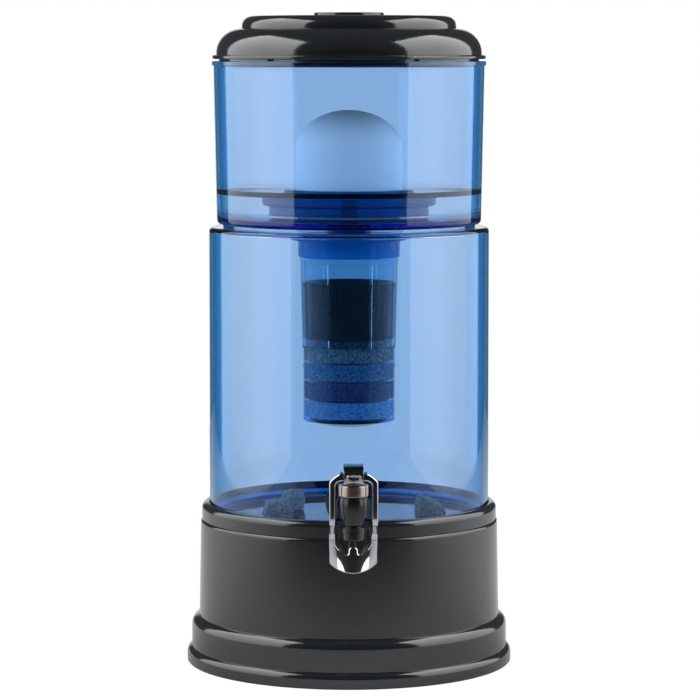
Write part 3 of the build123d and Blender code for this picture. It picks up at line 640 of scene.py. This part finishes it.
def stoneInto(form, size):
    # a worn block: a cube drawn part of the way to a ball, then roughened
    wear = stoneWear
    block = bmesh.new()
    bmesh.ops.create_cube(block, size=2.0)
    bmesh.ops.subdivide_edges(block, edges=block.edges[:], cuts=wear["cuts"], use_grid_fill=True)
    halfLength, halfWidth = size["half"]
    shift = Vector((size["seed"], size["seed"] * wear["seedAside"], -size["seed"]))
    for dot in block.verts:
        flat = dot.co.copy()
        spot = flat.lerp(flat.normalized() * wear["ball"], wear["worn"])
        rough = sum(
            wave["height"] * noise.fractal(spot * wave["scale"] + shift, *wave["fractal"])
            for wave in wear["waves"]
        )
        spot *= min(1.0 + rough, wear["bulge"]) * wear["half"]
        high = (spot.z + wear["half"]) / (2 * wear["half"])
        spot.x *= 1.0 - wear["taper"] * high
        spot.z = high * (1.0 - size["slope"] * (spot.x + wear["slopeFrom"]))
        dot.co = Vector((spot.x * halfLength, spot.y * halfWidth, max(spot.z, 0.0) * size["tall"])) / 1000
    turnAbout = Matrix.Rotation(math.radians(size["turn"]), 4, "Z")
    place = Matrix.Translation(Vector((size["spot"][0], size["spot"][1], lowerSizes["floor"])) / 1000)
    bmesh.ops.transform(block, matrix=place @ turnAbout, verts=block.verts[:])
    bmesh.ops.recalc_face_normals(block, faces=block.faces[:])
    mesh = bpy.data.meshes.new("stoneBlock")
    block.to_mesh(mesh)
    block.free()
    form.from_mesh(mesh)
    bpy.data.meshes.remove(mesh)


stoneForm = bmesh.new()
for size in stoneSizes:
    stoneInto(stoneForm, size)
pieceFrom(stoneForm, "stones", "lower_tank_assembly", stone,
          smoothAngle=180.0, node="mineral_stones")
print("stones are laid")

# layers of grains, with bore, coreGap and heights in millimetres, and rowRise, rowEnds, firstRow, margin,
# sunk and lift in grain radii; aside is a share of the way from one grain to the next, and roll is an angle
layerSizes = {
    "bore": 33.8, "seed": 11, "coreSides": 64, "coreGap": 0.2,
    "rowRise": 1.74, "rowEnds": 2.1, "firstRow": 1.05, "margin": 1.02, "sunk": (0.7, 0.95),
    "aside": 0.15, "lift": 0.1, "roll": 6.28, "rollAxis": (0.5, 0.3, 0.8), "roughest": 0.3,
    "layers": [
        {"name": "greyGrains", "node": "grey_granules", "slot": "granules_grey", "paint": greyGrain,
         "low": 250.7, "high": 268.2, "grain": 1.0, "rough": 0.35},
        {"name": "darkBlueBeads", "node": "dark_blue_beads", "slot": "beads_dark_blue", "paint": darkBlueBead,
         "low": 235.5, "high": 249.5, "grain": 1.15, "rough": 0.12},
        {"name": "purpleBeads", "node": "purple_beads", "slot": "beads_purple", "paint": purpleBead,
         "low": 219.3, "high": 234.3, "grain": 1.4, "rough": 0.08},
        {"name": "lightBlueBeads", "node": "light_blue_beads", "slot": "beads_light_blue",
         "paint": lightBlueBead, "low": 204.2, "high": 218.1, "grain": 1.4, "rough": 0.08},
    ],
}


def grainLayer(layer, seed):
    # a plain core fills the bore, and packed grains stand a little way out of its side
    pack = layerSizes
    chance = random.Random(seed)
    form = bmesh.new()
    grain = layer["grain"]
    tall = layer["high"] - layer["low"]
    rows = int(tall / (pack["rowRise"] * grain))
    step = (tall - pack["rowEnds"] * grain) / (rows - 1)
    around = int(2 * math.pi * (pack["bore"] - grain) / (2.0 * grain))
    finer = 1 if layer["rough"] > pack["roughest"] else 2
    lowest = layer["low"] + pack["margin"] * grain
    highest = layer["high"] - pack["margin"] * grain
    for row in range(rows):
        for number in range(around):
            shift = chance.uniform(-pack["aside"], pack["aside"])
            angle = 2 * math.pi * (number + 0.5 * (row % 2) + shift) / around
            radius = pack["bore"] - grain * chance.uniform(*pack["sunk"])
            height = layer["low"] + pack["firstRow"] * grain + row * step
            height += chance.uniform(-pack["lift"], pack["lift"]) * grain
            height = min(max(height, lowest), highest)
            spot = Vector((radius * math.cos(angle), radius * math.sin(angle), height)) / 1000
            size = Vector([grain / 1000 * chance.uniform(1 - layer["rough"], 1.0) for side in range(3)])
            lie = Matrix.Rotation(chance.uniform(0, pack["roll"]), 4, pack["rollAxis"])
            bmesh.ops.create_icosphere(form, subdivisions=finer, radius=1.0,
                                       matrix=Matrix.Translation(spot) @ lie @ Matrix.Diagonal(size.to_4d()))
    core = pack["bore"] / 1000
    bmesh.ops.create_cone(form, cap_ends=True, segments=pack["coreSides"], radius1=core, radius2=core,
                          depth=(tall - pack["coreGap"]) / 1000,
                          matrix=Matrix.Translation((0, 0, (layer["high"] + layer["low"]) / 2000)))
    return form


for number, layer in enumerate(layerSizes["layers"]):
    layerForm = grainLayer(layer, layerSizes["seed"] + number)
    pieceFrom(layerForm, layer["name"], "cartridge", layer["paint"],
              smoothAngle=50.0, node=layer["node"])
print("layers are filled")

# the flow lock's block and its ribbed thumb tab
lockSizes = {
    "edge": 0.45, "half": 7.9, "front": -156.0, "back": -136.0, "bottom": 178.4, "thick": 1.9,
    "corner": 0.6, "ribs": 8, "pitch": 2.0, "ribRadius": 0.8, "ribLift": 0.9, "ribSides": 16,
    "merge": 0.002, "flatAngle": 2.0, "sharpAngle": 40.0,
}


def softEdged(node, width):
    # a merged copy of a node's mesh, with its sharp edges rounded
    form = bmesh.new()
    form.from_mesh(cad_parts[node].data)
    bmesh.ops.remove_doubles(form, verts=form.verts[:], dist=lockSizes["merge"] / 1000)
    bmesh.ops.dissolve_limit(form, angle_limit=math.radians(lockSizes["flatAngle"]),
                             verts=form.verts[:], edges=form.edges[:])
    least = math.radians(lockSizes["sharpAngle"])
    sharp = [edge for edge in form.edges if len(edge.link_faces) == 2 and edge.calc_face_angle() > least]
    bmesh.ops.bevel(form, geom=sharp, offset=width / 1000, offset_type="OFFSET", affect="EDGES",
                    segments=3, profile=0.5, material=-1, clamp_overlap=True)
    return form


def ribbedTab():
    # a slab from front to back, with two stacked rods for each rib
    size = lockSizes
    middle = (size["front"] + size["back"]) / 2
    long = size["back"] - size["front"]
    top = size["bottom"] + size["thick"]
    radius = size["ribRadius"] / 1000
    lying = Matrix.Rotation(math.radians(90), 4, "X")
    form = bmesh.new()
    bmesh.ops.create_cube(form, size=0.001)
    bmesh.ops.scale(form, verts=form.verts[:], vec=(2 * size["half"], long, size["thick"]))
    bmesh.ops.translate(form, verts=form.verts[:], vec=Vector((0, middle, top - size["thick"] / 2)) / 1000)
    bmesh.ops.bevel(form, geom=form.edges[:], offset=size["corner"] / 1000, offset_type="OFFSET",
                    affect="EDGES", segments=3, profile=0.5, material=-1)
    for number in range(size["ribs"]):
        aside = (number - (size["ribs"] - 1) / 2) * size["pitch"]
        for lift in (0.0, size["ribLift"]):
            spot = Vector((aside, middle, top + lift)) / 1000
            bmesh.ops.create_cone(form, cap_ends=True, segments=size["ribSides"],
                                  radius1=radius, radius2=radius, depth=(long - size["corner"]) / 1000,
                                  matrix=Matrix.Translation(spot) @ lying)
    return form


blockForm = softEdged("lock_block", lockSizes["edge"])
pieceFrom(blockForm, "lockBlock", "toggle", chrome, node="lock_block")
pieceFrom(ribbedTab(), "lockTab", "toggle", tapBlack, node="lock_tab")
print("flow lock is made")

# the valve spring, one turned wire; travel is how far the valve rises
springSizes = {"wire": 0.45, "turns": 5, "steps": 24, "sides": 8, "travel": 3.0}


def coiledSpring(low, high):
    size = springSizes
    wire = size["wire"] / 1000
    middle = (low + high) / 2
    start = Vector((high.x - wire, middle.y, low.z + wire))
    steps = size["turns"] * size["steps"]
    form = bmesh.new()
    bmesh.ops.create_circle(form, cap_ends=False, segments=size["sides"], radius=wire,
                            matrix=Matrix.Translation(start) @ Matrix.Rotation(math.radians(90), 4, "X"))
    climb = (high.z - low.z - 2 * wire) / steps
    bmesh.ops.spin(form, geom=form.verts[:] + form.edges[:], cent=(middle.x, middle.y, 0), axis=(0, 0, 1),
                   dvec=(0, 0, climb), angle=2 * math.pi * size["turns"], steps=steps,
                   use_merge=False, use_duplicate=False)
    bmesh.ops.holes_fill(form, edges=[edge for edge in form.edges if edge.is_boundary], sides=size["sides"])
    bmesh.ops.recalc_face_normals(form, faces=form.faces[:])
    return form


springLow, springHigh = (Vector(corner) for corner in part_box("valve_spring"))
springForm = coiledSpring(springLow, springHigh)
spring = pieceFrom(springForm, "valveSpring", "valve", steel, node="valve_spring")
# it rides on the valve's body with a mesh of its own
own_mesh(spring)
print("spring is wound")

# the studio: a pale floor, two soft panels and the world, in metres
floorLook = {
    "half": (1.1, 1.35, 1), "ahead": 0.26, "darkAt": -1.05, "lightAt": 0.1,
    "dark": (0.07, 0.07, 0.07, 1), "light": (0.86, 0.86, 0.86, 1), "whiteShare": 0.9, "whiteLevel": 1.08,
}


def palePaint():
    # white to the eye and through clear walls, with some of its own shade left
    look = floorLook
    paint = Paint("floorWhite", Roughness=0.9)
    # its colour is painted darker towards the front, a painted shade that the stand's side reflects as a soft
    # change of tone
    share = paint.spread(paint.along("Y"), 0.0, 1.0, look["darkAt"], look["lightAt"])
    paint.drive(Base_Color=paint.between(share, look["dark"], look["light"]))
    seen = paint.add("LightPath", out="Is Camera Ray") + paint.add("LightPath", out="Is Transmission Ray")
    white = paint.add("Emission", {}, {"Color": (1, 1, 1, 1), "Strength": look["whiteLevel"]})
    return paint.giveWay(seen.least(1.0) * look["whiteShare"], white)


floorForm = bmesh.new()
bmesh.ops.create_grid(floorForm, x_segments=1, y_segments=1, size=1.0)
bmesh.ops.scale(floorForm, verts=floorForm.verts[:], vec=floorLook["half"])
bmesh.ops.translate(floorForm, verts=floorForm.verts[:], vec=(0, floorLook["ahead"], 0))
floorMesh = bpy.data.meshes.new("studioFloor")
floorForm.to_mesh(floorMesh)
floorForm.free()
floorMesh.materials.append(palePaint().material)
floor = bpy.data.objects.new("studioFloor", floorMesh)
bpy.context.scene.collection.objects.link(floor)


panelSizes = {
    "aside": 1.2, "front": -1.08, "back": 0.9, "foot": -0.05, "top": 2.3,
    "level": 2.4, "lowShare": 0.55, "highShare": 1.8,
}


def softPanel(name, side):
    # an upright soft box beside the object, brighter towards its top
    size = panelSizes
    wide = size["back"] - size["front"]
    tall = size["top"] - size["foot"]
    lamp = bpy.data.lights.new(name, "AREA")
    lamp.shape = "RECTANGLE"
    lamp.size = wide
    lamp.size_y = tall
    lamp.energy = size["level"] * math.pi * wide * tall
    lamp.use_nodes = True
    tree = lamp.node_tree
    spot = tree.nodes.new("ShaderNodeNewGeometry")
    parts = tree.nodes.new("ShaderNodeSeparateXYZ")
    share = tree.nodes.new("ShaderNodeMapRange")
    tree.links.new(spot.outputs["Parametric"], parts.inputs[0])
    tree.links.new(parts.outputs["Y"], share.inputs["Value"])
    share.inputs["To Min"].default_value = size["lowShare"]
    share.inputs["To Max"].default_value = size["highShare"]
    tree.links.new(share.outputs[0], tree.nodes["Emission"].inputs["Strength"])
    panel = bpy.data.objects.new(name, lamp)
    middle = (size["back"] + size["front"]) / 2
    panel.location = (side * size["aside"], middle, (size["top"] + size["foot"]) / 2)
    panel.rotation_euler = (math.radians(90), 0, math.radians(90 * side))
    bpy.context.scene.collection.objects.link(panel)


softPanel("panelLeft", -1)
softPanel("panelRight", 1)

world = bpy.data.worlds.new("studioWorld")
bpy.context.scene.world = world
world.use_nodes = True


class WorldPaint(Paint):
    def __init__(self, world):
        self.tree = world.node_tree
        self.target = self.tree.nodes["World Output"]
        self.shader = self.tree.nodes["Background"]


# the world is white to the eye, straight behind in gloss and through clear walls, and a dim fill elsewhere
skyLook = {
    "back": (0.965, 0.98), "front": (-0.55, -0.15),
    "fillZone": (-0.97, -0.6), "frontFill": 0.015, "fill": 0.06,
}
sky = WorldPaint(world)
direction = sky.add("TexCoord", out="Generated")
depth = sky.add("SeparateXYZ", {}, {0: direction}, out="Y")
backZone = sky.spread(depth, 0.0, 1.0, *skyLook["back"])
camera = sky.add("LightPath", out="Is Camera Ray")
glossy = sky.add("LightPath", out="Is Glossy Ray")
straight = 1 - sky.add("LightPath", out="Glossy Depth").above(0.5)
through = sky.add("LightPath", out="Is Transmission Ray")
awayFromFront = sky.spread(depth, 0.0, 1.0, *skyLook["front"])
whiteShare = camera.most(glossy * backZone).most(through * straight.most(awayFromFront))
fill = sky.spread(depth, skyLook["frontFill"], skyLook["fill"], *skyLook["fillZone"])
sky.tree.links.new(whiteShare.most(fill).socket, sky.shader.inputs["Strength"])
sky.shader.inputs["Color"].default_value = (1, 1, 1, 1)

# the camera, with its lens and sensor in millimetres, its place in metres and its angles in degrees
eye = {
    "lens": 162.0, "sensor": 36.0, "near": 0.05, "far": 30.0,
    "away": 2.602, "height": 0.5111, "turn": -1.35, "pitch": 5.54, "aside": -0.0182,
}
lens = bpy.data.cameras.new("eye")
lens.lens = eye["lens"]
lens.sensor_width = eye["sensor"]
lens.clip_start = eye["near"]
lens.clip_end = eye["far"]
eyeObject = bpy.data.objects.new("eye", lens)
turn = math.radians(eye["turn"])
eyeObject.location = (eye["away"] * math.sin(turn), -eye["away"] * math.cos(turn), eye["height"])
eyeObject.rotation_euler = (math.radians(90 - eye["pitch"]), 0, turn + math.radians(eye["aside"]))
bpy.context.scene.collection.objects.link(eyeObject)
bpy.context.scene.camera = eyeObject
bpy.context.scene.view_settings.view_transform = "Standard"
print("studio is set")
